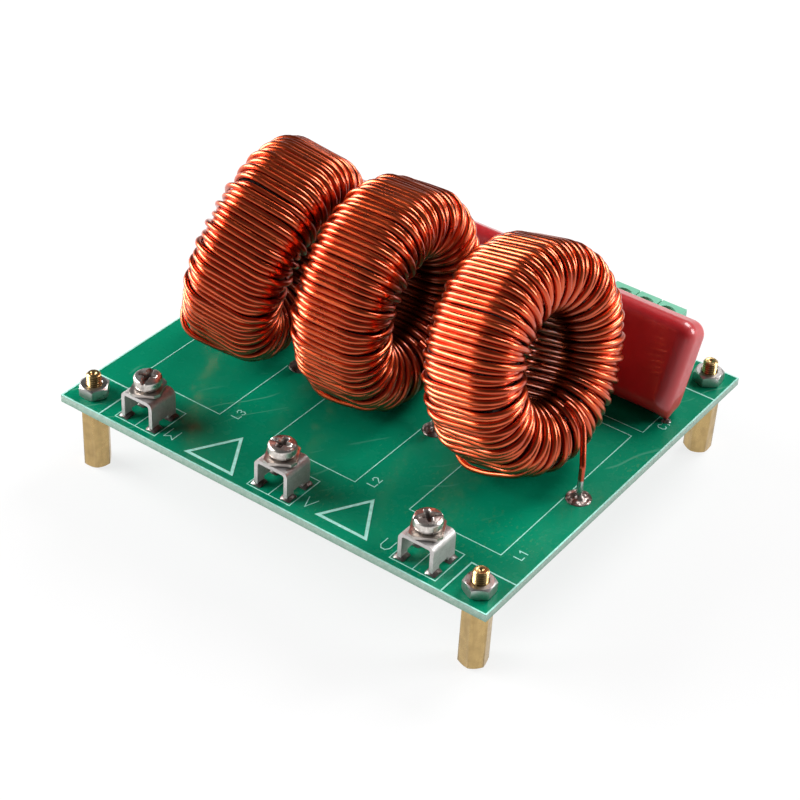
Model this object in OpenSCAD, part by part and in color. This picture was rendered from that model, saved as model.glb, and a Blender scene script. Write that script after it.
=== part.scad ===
// Sine wave filter board: three toroidal chokes and three film capacitors on one circuit board.
// Millimetres. X runs along the front edge with the screw terminals, Y to the back, Z up.
// The origin is at the middle of the four standoff feet.
// Places on the board are counted from its front left corner.

/* [Board] */
// Board width along X
board_w = 100; // [98:0.5:130]
// Board depth along Y
board_d = 90.5; // [90:0.5:120]
// Board thickness
board_t = 1.6; // [1:0.1:3]
// Side of the square marked at each corner
corner_mark = 9.8; // [8:0.1:12]
// Width of the printed border and corner marks
print_w = 0.3; // [0.2:0.05:0.5]
// Width of the fine printed lines and letters
fine_w = 0.18; // [0.15:0.01:0.3]
// Thickness of the print
print_t = 0.04; // [0.02:0.01:0.1]
// Distance between neighbouring phases
phase_pitch = 32.7; // [32.2:0.1:34]
// Shift of the middle phase from the board's middle
phase_shift = 0.3; // [-0.5:0.1:0.8]

/* [Standoffs] */
// Height of a standoff
standoff_h = 15; // [8:1:30]
// Width of a standoff across its flats
standoff_af = 5; // [4.5:0.5:6]
// Distance from a standoff's axis to both board edges
standoff_inset = 4.6; // [4:0.1:5.5]
// Diameter of the screw thread on a standoff
stud_d = 3; // [2.5:0.1:3]
// Length of that thread above the standoff
stud_h = 6.4; // [5:0.1:8]
// Pitch of the thread
thread_pitch = 0.5; // [0.4:0.05:0.6]
// Depth of the thread's grooves
thread_depth = 0.25; // [0.1:0.05:0.3]
// Diameter of the tapped hole in a standoff's foot
tap_d = 2.5; // [2:0.1:2.6]
// Depth of that hole
tap_depth = 7; // [4:0.5:7]
// Diameter of the board's mounting holes
mount_hole_d = 3.3; // [3.2:0.1:3.6]
// Width of a nut across its flats
nut_af = 5.5; // [5:0.1:6]
// Height of a nut
nut_h = 2.4; // [2:0.1:3]

/* [Screw terminals] */
// Width of a terminal bracket along X
bracket_w = 7.7; // [7:0.1:8.4]
// Depth of a bracket along Y
bracket_d = 6.8; // [6.2:0.1:7.6]
// Height of a bracket above the board
bracket_h = 6.2; // [5:0.1:8]
// Thickness of the bracket's sheet
sheet_t = 0.8; // [0.6:0.05:1]
// Outer radius of the bracket's bends
bend_r = 1.3; // [1.1:0.1:1.6]
// Distance from the board's front edge to a bracket
bracket_front = 2.4; // [1.8:0.1:3]
// Width of a bracket's foot
foot_w = 2; // [1.6:0.1:2.4]
// Height of the notch between the feet
notch_h = 1.3; // [1:0.1:2]
// Width of the tab below a foot
tab_w = 1.2; // [0.8:0.1:1.4]
// Length of a tab and of a wire below the board
tail_h = 1.2; // [0.8:0.1:2]
// Side of a square clamp plate
plate_w = 6.2; // [5.5:0.1:6.6]
// Thickness of a clamp plate
plate_t = 0.6; // [0.4:0.05:0.9]
// Diameter of a terminal screw's shank
screw_d = 2.9; // [2.6:0.1:3]
// Length of that shank
screw_l = 3.4; // [3.2:0.1:5]
// Diameter of a screw head
head_d = 5.5; // [5:0.1:6]
// Height of a screw head
head_h = 2.1; // [1.9:0.1:2.4]
// Thickness of a spring washer
spring_t = 0.55; // [0.4:0.05:0.8]

/* [Chokes] */
// Outer diameter of a finished choke
coil_od = 44.6; // [43.6:0.1:45]
// Width of a finished choke
coil_w = 19.8; // [19:0.1:20.2]
// Diameter of the hole through a choke
coil_hole_d = 16; // [15:0.1:17]
// Rounding of a winding's outer corners
coil_edge_r = 5.6; // [5:0.1:6]
// Rounding of a winding's corners in the hole
coil_lip_r = 6.8; // [6.4:0.1:7]
// Thickness of the winding around the core's outside
wound_out = 2.5; // [2.3:0.1:2.8]
// Thickness of the winding in the core's bore
wound_in = 4; // [3.8:0.1:4.2]
// Thickness of the winding on each face of the core
wound_side = 2.7; // [2.5:0.1:2.9]
// Diameter of the enamelled wire
wire_d = 1.2; // [1:0.05:1.3]
// Depth of the lowest turns below the others on a winding's faces
ridge_h = 0.9; // [0.6:0.05:1]
// Number of groups of four turns around a winding
ridge_n = 28; // [20:1:30]
// Distance between a choke's two solder pads
coil_pad_pitch = 24.6; // [24.2:0.1:25]
// Diameter of a choke's solder pad
coil_pad_d = 5; // [4:0.1:5.4]
// Height of the lowest turn above the board
coil_gap = 0.6; // [0.4:0.1:1]

/* [Capacitors] */
// Length of a capacitor along X
cap_l = 29.4; // [29:0.1:31.4]
// Height of a capacitor along its lean
cap_h = 19.2; // [17:0.1:22]
// Thickness of a capacitor
cap_t = 9.1; // [8:0.1:9.4]
// Rounding of a capacitor's edges
cap_edge_r = 3; // [2:0.1:3.8]
// Distance between a capacitor's wires
cap_pitch = 27.5; // [26:0.1:28]
// Diameter of those wires
cap_wire_d = 0.8; // [0.6:0.05:1]
// Distance from those wires to the output block
cap_to_block = 10.9; // [10.8:0.1:11.2]
// Height of a capacitor above the board
cap_gap = 0.3; // [0.2:0.1:1]

/* [Output block] */
// Distance between the block's ways
way_pitch = 5.08; // [5:0.01:5.2]
// Number of ways
way_n = 3; // [2:1:3]
// Wall at each end of the block
end_wall = 0.55; // [0.4:0.05:0.8]
// Depth of the block along Y
block_d = 9.2; // [8.8:0.1:9.4]
// Height of the block
block_h = 12; // [11:0.1:13]
// Distance from the block to the board's back edge
block_inset = 1.8; // [1.5:0.1:2]
// Diameter of a screw well
well_d = 3.8; // [3.4:0.1:4]
// Distance from a well's axis to the block's back
well_inset = 3.1; // [2.9:0.1:3.4]
// Width and height of a wire entry
entry_w = 3.9; // [3.4:0.1:4]

/* [Hidden] */
$fn = 48;
top_z = standoff_h + board_t;
snug = 0.05;
bore_gap = 0.1;

// The rows of chokes and capacitors follow the board's depth
coil_pad_y = board_d * 0.41215;
block_back = board_d - block_inset;
block_front = block_back - block_d;
cap_wire_y = block_front - cap_to_block;

// Where things stand, left to right, so 0 is W, L3 and C3 and 2 is U, L1 and C1
function phase_x(i) = board_w / 2 + phase_shift + (i - 1) * phase_pitch;
corners = [
  [standoff_inset, standoff_inset], [board_w - standoff_inset, standoff_inset],
  [standoff_inset, board_d - standoff_inset], [board_w - standoff_inset, board_d - standoff_inset]];
standoff_turns = [8, 44, 20, 30];
nut_turns = [4, 34, 15, 36];

// Each choke stands a little off its mark: shift in X and Y, turn and lean
coil_shift = [[3.8, 1.6], [-3.3, 3.9], [-4.1, 3.6]];
coil_turn = [10.1, 3.7, -2.6];
coil_lean = [-14.2, -0.6, 12.6];
coil_r = coil_od / 2;
coil_half = coil_w / 2;
function coil_z(i) = coil_gap + coil_edge_r + (coil_r - coil_edge_r) * cos(coil_lean[i])
  + (coil_half - coil_edge_r) * abs(sin(coil_lean[i]));
function coil_centre(i) = [phase_x(i) + coil_shift[i][0], coil_mark_y + coil_mark_d / 2 + coil_shift[i][1],
  coil_z(i)];
// A point at the distance s along a choke's axis, h across it and u up it, as a place on the board
function coil_point(i, s, h, u) = let (
    t = coil_turn[i], k = coil_lean[i],
    n = [cos(t) * cos(k), sin(t) * cos(k), sin(k)],
    a = [-sin(t), cos(t), 0])
  coil_centre(i) + s * n + h * a + u * cross(n, a);
coil_mark_w = 20.2;
coil_mark_d = 45.2;
coil_mark_y = coil_pad_y + 0.1 - coil_mark_d / 2;
core_od = coil_od - 2 * wound_out;
core_id = coil_hole_d + 2 * wound_in;
core_w = coil_w - 2 * wound_side;

cap_shift = -0.9;
cap_lean = [28, 32, 25.5];
cap_lift = [0.4, 1.4, 0];
// The middle of a capacitor's thickness stands this high, so that its lowest edge clears the board
function cap_z(i) = cap_gap + cap_lift[i] + cap_edge_r
  + (cap_t / 2 - cap_edge_r) * (sin(cap_lean[i]) + cos(cap_lean[i]));
cap_mark_y = cap_wire_y - 6.2;
cap_mark_w = 24.2;
cap_mark_d = 13.6;
function cap_x(i) = phase_x(i) + cap_shift;

bracket_y = bracket_front + bracket_d / 2;
terminal_mark_w = 10;
terminal_mark_d = 9.1;
terminal_mark_y = 1.7;
plate_turns = [24, 29, 27];
plate_tilt = [4, 2.5, 3];
head_turns = [20, 75, 50];
plate_rise = sin(max(plate_tilt)) * plate_w / 2 + snug;
plate_z = bracket_h + plate_rise;
spring_z = plate_z + plate_t + sin(max(plate_tilt)) * head_d / 2 + snug;
head_z = spring_z + spring_t;

block_w = way_n * way_pitch + 2 * end_wall;
block_x = phase_x(2) - 3.9;
well_y = block_back - well_inset;
function way_x(j) = block_x + (j - (way_n - 1) / 2) * way_pitch;
pin_d = 1;
entry_z = 1.6;
cage_t = 0.5;
cage_w = entry_w - 2 * bore_gap;
cage_top = entry_z + entry_w - bore_gap;
hole_slack = 0.3;
joint_h = 1;

module on_board() translate([-board_w / 2, -board_d / 2, top_z]) children();
module at_board(x, y, z = 0) on_board() translate([x, y, z]) children();
module hexagon(af) circle(d = af / cos(30), $fn = 6);
// A hexagon bar with both ends chamfered
module hex_bar(af, h) intersection() {
  linear_extrude(h) hexagon(af);
  chamfered_disc(af / cos(30) / 2, h, af / 9);
}
module chamfered_disc(r, h, c) rotate_extrude() polygon([[0, 0], [r - c, 0], [r, c * 0.6],
  [r, h - c * 0.6], [r - c, h], [0, h]]);
// A straight round bar between two points
module bar(p, q, d) {
  v = q - p;
  translate(p) rotate([0, acos(v[2] / norm(v)), atan2(v[1], v[0])]) cylinder(d = d, h = norm(v));
}
// A bent wire through a list of points
module wire(points, d) for (i = [0 : len(points) - 2]) {
  bar(points[i], points[i + 1], d);
  if (i > 0) translate(points[i]) sphere(d = d * knee);
}
knee = 1.12;

// Where the holes for wires and pins are
module coil_wire_places() for (i = [0 : 2], side = [-1, 1])
  translate([phase_x(i) + side * coil_pad_pitch / 2, coil_pad_y, 0]) children();
module cap_wire_places() for (i = [0 : 2], side = [-1, 1])
  translate([cap_x(i) + side * cap_pitch / 2, cap_wire_y, 0]) children();
module pin_places() for (j = [0 : way_n - 1]) translate([way_x(j), block_front + block_d / 2, 0]) children();
module foot_places(i) for (sx = [-1, 1], sy = [-1, 1])
  translate([phase_x(i) + sx * (bracket_w - sheet_t) / 2, bracket_y + sy * (bracket_d - foot_w) / 2, 0])
    children();

// Laminated board with its drilled holes and slots
module circuit_board() color("seagreen") at_board(0, 0, -board_t) difference() {
  cube([board_w, board_d, board_t]);
  translate([0, 0, -1]) {
    for (c = corners) translate(c) cylinder(d = mount_hole_d, h = board_t + 2);
    coil_wire_places() cylinder(d = wire_d + hole_slack, h = board_t + 2);
    cap_wire_places() cylinder(d = cap_wire_d + hole_slack, h = board_t + 2);
    pin_places() cylinder(d = pin_d + hole_slack, h = board_t + 2);
    for (i = [0 : 2]) foot_places(i)
      linear_extrude(board_t + 2) square([sheet_t + 2 * bore_gap, tab_w + 2 * bore_gap], center = true);
  }
}

// Printed marks
module stroke(p, q, w = fine_w) {
  v = q - p;
  translate(p) rotate(atan2(v[1], v[0])) translate([-w / 2, -w / 2]) square([norm(v) + w, w]);
}
module strokes(points) for (i = [0 : len(points) - 2]) stroke(points[i], points[i + 1]);
module outline(x, y, w, d, line = fine_w) translate([x, y]) difference() {
  translate([-line / 2, -line / 2]) square([w + line, d + line]);
  translate([line / 2, line / 2]) square([w - line, d - line]);
}
// Letters and digits as pen strokes, each in a box 2 wide and 3 high
function glyph(c) =
  c == "U" ? [[[0, 3], [0, 0.8], [0.6, 0], [1.5, 0], [2.1, 0.8], [2.1, 3]]] :
  c == "V" ? [[[0, 3], [1.1, 0], [2.2, 3]]] :
  c == "W" ? [[[0, 3], [0, 0], [1.1, 0.9], [2.2, 0], [2.2, 3]]] :
  c == "L" ? [[[0, 3], [0, 0], [1.6, 0]]] :
  c == "C" ? [[[1.9, 2.4], [1.3, 3], [0.6, 3], [0, 2.3], [0, 0.7], [0.6, 0], [1.3, 0], [1.9, 0.6]]] :
  c == "1" ? [[[0.2, 2.4], [0.9, 3], [0.9, 0]]] :
  c == "2" ? [[[0, 2.4], [0.5, 3], [1.3, 3], [1.8, 2.4], [1.8, 1.8], [0, 0], [1.8, 0]]] :
  [[[0, 2.5], [0.5, 3], [1.3, 3], [1.8, 2.4], [1.3, 1.6], [0.8, 1.6]],
    [[1.3, 1.6], [1.8, 0.8], [1.3, 0], [0.5, 0], [0, 0.5]]];
module word(letters, high) for (j = [0 : len(letters) - 1], line = glyph(letters[j]))
  translate([j * 2.6 * high / 3, 0]) strokes(line * (high / 3));
// A tag that is read from the right side of the board
module side_tag(x, y, letters, high) translate([x, y]) rotate(90) word(letters, high);
module triangle_mark(x, y, side) translate([x, y]) difference() {
  rotate(90) circle(r = side / sqrt(3), $fn = 3);
  rotate(90) circle(r = side / sqrt(3) - 2 * triangle_line, $fn = 3);
}
triangle_side = 11.9;
triangle_line = 0.62;
triangle_y = 5.2;
tag_y = 15.9;
side_tag_h = 1.7;
letter_h = 2.8;
module corner_square() outline(0, 0, corner_mark, corner_mark, print_w);
module board_print() color("honeydew") at_board(0, 0, 0) linear_extrude(print_t) {
  difference() {
    union() {
      difference() {
        square([board_w, board_d]);
        translate([print_w, print_w]) square([board_w - 2 * print_w, board_d - 2 * print_w]);
      }
      for (mx = [0, 1], my = [0, 1]) translate([mx * board_w, my * board_d]) mirror([mx, 0]) mirror([0, my])
        intersection() {
          corner_square();
          square([corner_mark + 1, corner_mark + 1]);
        }
      for (i = [0 : 2]) {
        outline(phase_x(i) - terminal_mark_w / 2, terminal_mark_y, terminal_mark_w, terminal_mark_d);
        stroke([phase_x(i), terminal_mark_y], [phase_x(i), terminal_mark_y + terminal_mark_d]);
        outline(phase_x(i) - coil_mark_w / 2, coil_mark_y, coil_mark_w, coil_mark_d);
        outline(cap_x(i) - cap_mark_w / 2, cap_mark_y, cap_mark_w, cap_mark_d);
        side_tag(phase_x(i) + coil_pad_pitch / 2 + 1.5, tag_y, ["L", str(3 - i)], side_tag_h);
      }
      side_tag(cap_x(2) + cap_pitch / 2 + 1.2, cap_mark_y + 3.4, ["C", "1"], side_tag_h);
      translate([phase_x(0) + 6.3, 2.9]) word(["W"], letter_h);
      translate([phase_x(1) + 6.3, 3.3]) word(["V"], letter_h);
      translate([phase_x(2) - 8.3, 2.9]) word(["U"], letter_h);
      for (i = [0, 1]) triangle_mark((phase_x(i) + phase_x(i + 1)) / 2 + 1.9 * (i == 0 ? 1 : -0.2), triangle_y + i, triangle_side);
    }
    for (i = [0 : 2]) foot_places(i) square([bracket_joint_w, bracket_joint_d] + [0.4, 0.4], center = true);
    cap_wire_places() circle(d = cap_joint_d + 0.4);
    coil_wire_places() circle(d = coil_pad_d + 0.4);
    pin_places() circle(d = pin_d + 1);
  }
}

// Brass standoff with its thread through the board
module thread(d, h) rotate_extrude() polygon(concat([[0, 0]],
  [for (k = [0 : floor(h / thread_pitch) - 1]) each [
    [d / 2 - thread_depth, k * thread_pitch], [d / 2, (k + 0.5) * thread_pitch]]],
  [[d / 2 - thread_depth, floor(h / thread_pitch) * thread_pitch], [d / 2 - thread_depth, h - 0.1],
    [d / 2 - thread_depth - 0.2, h], [0, h]]));
stud_root = 0.3;
module standoff(i) color("darkkhaki") at_board(corners[i][0], corners[i][1], -top_z) difference() {
  union() {
    rotate(standoff_turns[i]) hex_bar(standoff_af, standoff_h);
    translate([0, 0, standoff_h]) thread(stud_d, stud_h);
    translate([0, 0, standoff_h - stud_root]) cylinder(d = stud_d - 2 * thread_depth, h = 2 * stud_root);
  }
  translate([0, 0, -1]) cylinder(d = tap_d, h = tap_depth + 1);
}
module nut(i) color("silver") at_board(corners[i][0], corners[i][1], 0) difference() {
  rotate(nut_turns[i]) hex_bar(nut_af, nut_h);
  translate([0, 0, -1]) cylinder(d = stud_d + bore_gap, h = nut_h + 2);
  for (z = [-snug, nut_h + snug]) translate([0, 0, z]) mirror([0, 0, z > 0 ? 1 : 0])
    cylinder(r1 = stud_d / 2 + 0.3, r2 = stud_d / 2 - 0.1, h = 0.4);
}

// Folded sheet bracket on four feet
module bracket(i) color("gainsboro") at_board(phase_x(i), bracket_y, 0) difference() {
  union() {
    rotate([90, 0, 0]) translate([0, 0, -bracket_d / 2]) linear_extrude(bracket_d) bracket_section();
    translate([0, 0, bracket_h - collar_h - sheet_t]) cylinder(d = collar_d, h = collar_h + sheet_t / 2);
    for (sx = [-1, 1], sy = [-1, 1])
      translate([sx * (bracket_w - sheet_t) / 2, sy * (bracket_d - foot_w) / 2, -board_t - tail_h])
        translate([-sheet_t / 2, -tab_w / 2, 0]) cube([sheet_t, tab_w, board_t + tail_h + notch_h]);
  }
  translate([-bracket_w, -(bracket_d / 2 - foot_w), -1]) cube([2 * bracket_w, bracket_d - 2 * foot_w, notch_h + 1]);
  cylinder(d = screw_d + bore_gap, h = bracket_h + 1);
}
collar_h = 1;
collar_d = 4.4;
module arched(w, h, r) {
  translate([-w / 2, 0]) square([w, h - r]);
  translate([-w / 2 + r, h - r]) square([w - 2 * r, r]);
  for (s = [-1, 1]) translate([s * (w / 2 - r), h - r]) circle(r = r);
}
module bracket_section() difference() {
  arched(bracket_w, bracket_h, bend_r);
  translate([0, -snug]) arched(bracket_w - 2 * sheet_t, bracket_h - sheet_t + snug, bend_r - sheet_t);
}

// Square clamp plate, a little askew under its screw
module clamp_plate(i) color("silver") at_board(phase_x(i), bracket_y, plate_z) rotate(plate_turns[i])
  rotate([0, -plate_tilt[i], 0]) difference() {
    linear_extrude(plate_t) difference() {
      square(plate_w, center = true);
      for (k = [0 : 3]) rotate(45 + 90 * k) translate([plate_w * 0.68, 0]) square([1, 4], center = true);
    }
    translate([0, 0, -1]) cylinder(d = screw_d + 0.7, h = plate_t + 2);
  }
module spring_washer(i) color("lightgray") at_board(phase_x(i), bracket_y, spring_z) difference() {
  cylinder(d = head_d - 0.5, h = spring_t);
  translate([0, 0, -1]) cylinder(d = screw_d + 0.2, h = spring_t + 2);
  rotate(-35 + 15 * i) translate([0, -0.3, -1]) cube([head_d, 0.6, spring_t + 2]);
}
module terminal_screw(i) color("whitesmoke") at_board(phase_x(i), bracket_y, head_z) difference() {
  union() {
    translate([0, 0, -screw_l]) cylinder(d = screw_d, h = screw_l + head_h / 2);
    pan_head();
  }
  rotate(head_turns[i]) {
    for (a = [0, 90]) rotate(a) translate([-cross_w / 2, -cross_l / 2, head_h - cross_depth])
      cube([cross_w, cross_l, 2]);
    translate([-head_d, -slot_w / 2, head_h - slot_depth]) cube([2 * head_d, slot_w, 2]);
  }
}
pan_dome = 0.2;
pan_round = 0.5;
module pan_head() rotate_extrude() polygon([[0, 0], [head_d / 2, 0], [head_d / 2, head_h - pan_dome - pan_round],
  [head_d / 2 - 0.3 * pan_round, head_h - pan_dome - 0.3 * pan_round], [head_d / 2 - pan_round, head_h - pan_dome],
  [0, head_h]]);
cross_w = 0.8;
cross_l = 3.2;
cross_depth = 1;
slot_w = 0.7;
slot_depth = 0.8;

// Choke: powder core, ridged winding and the two wire ends
module core_ring(slack) rotate_extrude($fn = 96) translate([core_id / 2 - slack, -core_w / 2 - slack])
  square([(core_od - core_id) / 2 + 2 * slack, core_w + 2 * slack]);
module in_coil(i) on_board() translate(coil_centre(i)) rotate([0, 0, coil_turn[i]]) rotate([0, 90 - coil_lean[i], 0])
  children();
module core(i) color("dimgray") in_coil(i) core_ring(0);
// One quarter bend of the winding's section, drawn with k + 1 points
function bend(x, y, r, from, k) = [for (j = [0 : k]) [x + r * cos(from + 90 * j / k), y + r * sin(from + 90 * j / k)]];
// A turn's section from the middle of its outside round through the hole, as radius and place along the axis.
// The turn lies d deep on the faces and in the hole, and less outside.
function section_points(d) = let (a = coil_hole_d / 2 + coil_lip_r, b = coil_half - coil_lip_r,
    c = coil_r - coil_edge_r, e = coil_half - coil_edge_r, f = d * outside_share)
  concat([[coil_r - f, 0]], bend(c, e, coil_edge_r - f, 0, 2), bend(a, b, coil_lip_r - d, 90, 3),
    [[coil_hole_d / 2 + d, 0]], bend(a, -b, coil_lip_r - d, 180, 3), bend(c, -e, coil_edge_r - f, -90, 2));
outside_share = 0.25;
// How deep the turns of each group of four lie, as shares of the ridge height
turn_depths = [0, 0.9, 0.4, 1];
wire_start = 2;
// The length along a section up to its point j
function run(p, j) = j == 0 ? 0 : run(p, j - 1) + norm(p[j % len(p)] - p[j - 1]);
module winding_skin() {
  turns = [for (d = turn_depths) section_points(ridge_h * d)];
  m = len(turns[0]);
  n = len(turn_depths) * ridge_n;
  share = [for (j = [0 : m - 1]) run(turns[0], j) / run(turns[0], m)];
  points = [for (i = [0 : n - 1], j = [0 : m - 1]) let (
      p = turns[i % len(turn_depths)][j],
      a = wire_start + (i + share[j]) * 360 / n)
    [p[0] * cos(a), p[0] * sin(a), p[1]]];
  // Each turn ends where the next one starts, so the last column joins the turn after it
  function at(i, j) = ((i + (j == m ? 1 : 0)) % n) * m + j % m;
  polyhedron(points, [for (i = [0 : n - 1], j = [0 : m - 1]) each [
    [at(i, j), at(i, j + 1), at(i + 1, j + 1)],
    [at(i, j), at(i + 1, j + 1), at(i + 1, j)]]], convexity = 6);
}
module winding(i) color("sienna") in_coil(i) difference() {
  winding_skin();
  core_ring(snug);
}
// The ends stand straight up from the board and bend over to the faces
wire_off = wire_d / 2 + 0.3;
wire_across = 1;
wire_leaves = 8.7;
wire_lands = 10.7;
// How far the winding's face has rounded off where an end lands on it
wire_drop = coil_lip_r - sqrt(coil_lip_r ^ 2 - (coil_hole_d / 2 + coil_lip_r - coil_r + wire_lands) ^ 2);
// The share of that rise at which an end bends over, left and right; one pad lies under its choke's face
wire_knees = [[0.62, 0.62], [0.17, 0.62], [0.62, 0.62]];
wire_outs = [[0, 0], [2, 0], [0, 0]];
module choke_wires(i) color("chocolate") on_board() for (side = [-1, 1]) {
  pad = [phase_x(i) + side * coil_pad_pitch / 2, coil_pad_y, 0];
  k = (side + 1) / 2;
  leaves = coil_point(i, side * (coil_half + wire_off + wire_outs[i][k]), wire_across, wire_leaves - coil_r);
  wire([pad - [0, 0, board_t + tail_h], pad + [0, 0, wire_knees[i][k] * leaves[2]], leaves,
    coil_point(i, side * (coil_half + snug - wire_drop), wire_across, wire_lands - coil_r)], wire_d);
}

// A block with rounded edges and corners, centred in X and Y, its foot at z = 0
module soft_block(l, w, h, r) translate([0, 0, r]) {
  a = l / 2 - r;
  b = w / 2 - r;
  c = h - 2 * r;
  translate([-a - r, -b, 0]) cube([2 * (a + r), 2 * b, c]);
  translate([-a, -b - r, 0]) cube([2 * a, 2 * (b + r), c]);
  translate([-a, -b, -r]) cube([2 * a, 2 * b, c + 2 * r]);
  for (x = [-a, a], y = [-b, b]) translate([x, y, 0]) cylinder(r = r, h = c);
  for (x = [-a, a], z = [0, c]) translate([x, -b, z]) rotate([-90, 0, 0]) cylinder(r = r, h = 2 * b);
  for (y = [-b, b], z = [0, c]) translate([-a, y, z]) rotate([0, 90, 0]) cylinder(r = r, h = 2 * a);
  for (x = [-a, a], y = [-b, b], z = [0, c]) translate([x, y, z]) sphere(r = r);
}
// Dipped film capacitor, leaning back on its two wires, with the epoxy drawn down each wire in a cone
module cap_body(i) {
  translate([cap_x(i), cap_wire_y + cap_t / 2 * sin(cap_lean[i]), cap_z(i)]) rotate([-cap_lean[i], 0, 0])
    translate([0, 0, -cap_t / 2]) soft_block(cap_l, cap_t, cap_h, cap_edge_r);
  intersection() {
    translate([0, 0, cap_joint_h + snug]) for (side = [-1, 1])
      translate([cap_x(i) + side * cap_pitch / 2, cap_wire_y, 0])
        cylinder(r1 = cap_wire_d, r2 = cap_cone_r, h = cap_z(i) - cap_joint_h - 1.2);
    translate([cap_x(i) - cap_l / 2 + 0.3, cap_wire_y - cap_t, 0]) cube([cap_l - 0.6, 2 * cap_t, cap_h]);
  }
}
cap_cone_r = 2.8;
module capacitor(i) color("crimson") on_board() cap_body(i);
module capacitor_wires() color("silver") on_board() difference() {
  translate([0, 0, -board_t - tail_h]) cap_wire_places() cylinder(d = cap_wire_d, h = board_t + tail_h + 1);
  for (i = [0 : 2]) cap_body(i);
}

// Pluggable output: housing, clamp screws, cages and pins
module output_block() color("mediumaquamarine") at_board(block_x - block_w / 2, block_front, 0) difference() {
  cube([block_w, block_d, block_h]);
  for (j = [0 : way_n - 1]) translate([way_x(j) - block_x + block_w / 2, 0, 0]) {
    translate([0, block_d - well_inset, entry_z + entry_w]) cylinder(d = well_d, h = block_h);
    translate([-entry_w / 2, block_d - entry_depth, entry_z]) cube([entry_w, entry_depth + 1, entry_w + snug]);
    translate([0, block_d / 2, -1]) cylinder(d = pin_d + bore_gap, h = entry_z + 2);
    translate([-entry_w / 2 - 0.4, block_d - 0.5, entry_z - 0.4]) cube([entry_w + 0.8, 1, entry_w + 0.8]);
  }
  for (j = [1 : way_n - 1]) translate([end_wall + j * way_pitch - seam_w / 2, -1, block_h - seam_d])
    cube([seam_w, block_d + 2, seam_d + 1]);
  translate([-1, -ledge_w, block_h - ledge_d]) cube([block_w + 2, 2 * ledge_w, 2 * ledge_d]);
}
entry_depth = 7.4;
seam_w = 0.3;
seam_d = 0.4;
ledge_w = 1;
ledge_d = 1.2;
screw_sunk = 2.2;
blade_w = 0.7;
blade_d = 1;
well_gap = 0.2;
module block_screws() color("silver") on_board() for (j = [0 : way_n - 1]) translate([way_x(j), well_y, 0]) difference() {
  translate([0, 0, cage_top]) cylinder(d = well_d - 2 * well_gap, h = block_h - cage_top - screw_sunk);
  translate([-well_d, -blade_w / 2, block_h - screw_sunk - blade_d]) cube([2 * well_d, blade_w, 2 * blade_d]);
}
module block_cages() color("lightgray") on_board() for (j = [0 : way_n - 1])
  translate([way_x(j) - cage_w / 2, block_back - entry_depth + bore_gap, entry_z + bore_gap]) difference() {
    cube([cage_w, entry_depth - 1.4, cage_top - entry_z - bore_gap]);
    translate([cage_t, -1, cage_t]) cube([cage_w - 2 * cage_t, entry_depth + 2, cage_top - entry_z - bore_gap - 2 * cage_t]);
  }
module block_pins() color("silver") on_board() pin_places()
  translate([0, 0, -board_t - tail_h]) cylinder(d = pin_d, h = board_t + tail_h + entry_z + bore_gap);

// Solder
cap_joint_d = 1.9;
cap_joint_h = 0.5;
bracket_joint_w = 2.2;
bracket_joint_d = 2.6;
module joint(d, wire, h) rotate_extrude() polygon([[wire / 2, 0], [d / 2, 0], [d / 2 - 0.1, h * 0.25],
  [(d + wire) / 4 + 0.1, h * 0.5], [wire / 2 + 0.25, h], [wire / 2, h]]);
module choke_joints() color("gray") on_board() coil_wire_places() joint(coil_pad_d, wire_d, joint_h);
module capacitor_joints() color("gray") on_board() cap_wire_places() joint(cap_joint_d, cap_wire_d, cap_joint_h);
module bracket_joints() color("gray") on_board() for (i = [0 : 2]) difference() {
  foot_places(i) intersection() {
    translate([-bracket_joint_w / 2, -bracket_joint_d / 2, 0]) cube([bracket_joint_w, bracket_joint_d, 0.7]);
    translate([0, 0, -1.2]) sphere(r = 2);
  }
  foot_places(i) translate([-sheet_t / 2, -foot_w / 2, -1]) cube([sheet_t, foot_w, 3]);
}
module underside_joints() color("gray") on_board() translate([0, 0, -board_t]) mirror([0, 0, 1]) {
  coil_wire_places() joint(4, wire_d, joint_h);
  cap_wire_places() joint(cap_joint_d + 0.4, cap_wire_d, 0.8);
  pin_places() joint(2.6, pin_d, 0.9);
  for (i = [0 : 2]) foot_places(i) difference() {
    intersection() {
      cylinder(d = bracket_joint_w + 0.4, h = 0.9);
      translate([0, 0, -1.1]) sphere(r = 2);
    }
    translate([-sheet_t / 2, -tab_w / 2, -1]) cube([sheet_t, tab_w, 4]);
  }
}

circuit_board();
board_print();
standoff(0);  // standoff_front_left
standoff(1);  // standoff_front_right
standoff(2);  // standoff_back_left
standoff(3);  // standoff_back_right
nut(0);  // nut_front_left
nut(1);  // nut_front_right
nut(2);  // nut_back_left
nut(3);  // nut_back_right
bracket(0);  // bracket_w
bracket(1);  // bracket_v
bracket(2);  // bracket_u
clamp_plate(0);  // clamp_plate_w
clamp_plate(1);  // clamp_plate_v
clamp_plate(2);  // clamp_plate_u
spring_washer(0);  // spring_washer_w
spring_washer(1);  // spring_washer_v
spring_washer(2);  // spring_washer_u
terminal_screw(0);  // terminal_screw_w
terminal_screw(1);  // terminal_screw_v
terminal_screw(2);  // terminal_screw_u
core(0);  // core_l3
core(1);  // core_l2
core(2);  // core_l1
winding(0);  // winding_l3
winding(1);  // winding_l2
winding(2);  // winding_l1
choke_wires(0);  // choke_wires_l3
choke_wires(1);  // choke_wires_l2
choke_wires(2);  // choke_wires_l1
capacitor(0);  // capacitor_c3
capacitor(1);  // capacitor_c2
capacitor(2);  // capacitor_c1
capacitor_wires();
output_block();
block_screws();
block_cages();
block_pins();
choke_joints();
capacitor_joints();
bracket_joints();
underside_joints();
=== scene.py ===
"""Dresses a three-phase filter board: its chokes, capacitors, terminals, standoffs and the rest.

Everything is in metres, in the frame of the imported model, unless a comment says otherwise.
"""

import math

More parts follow.
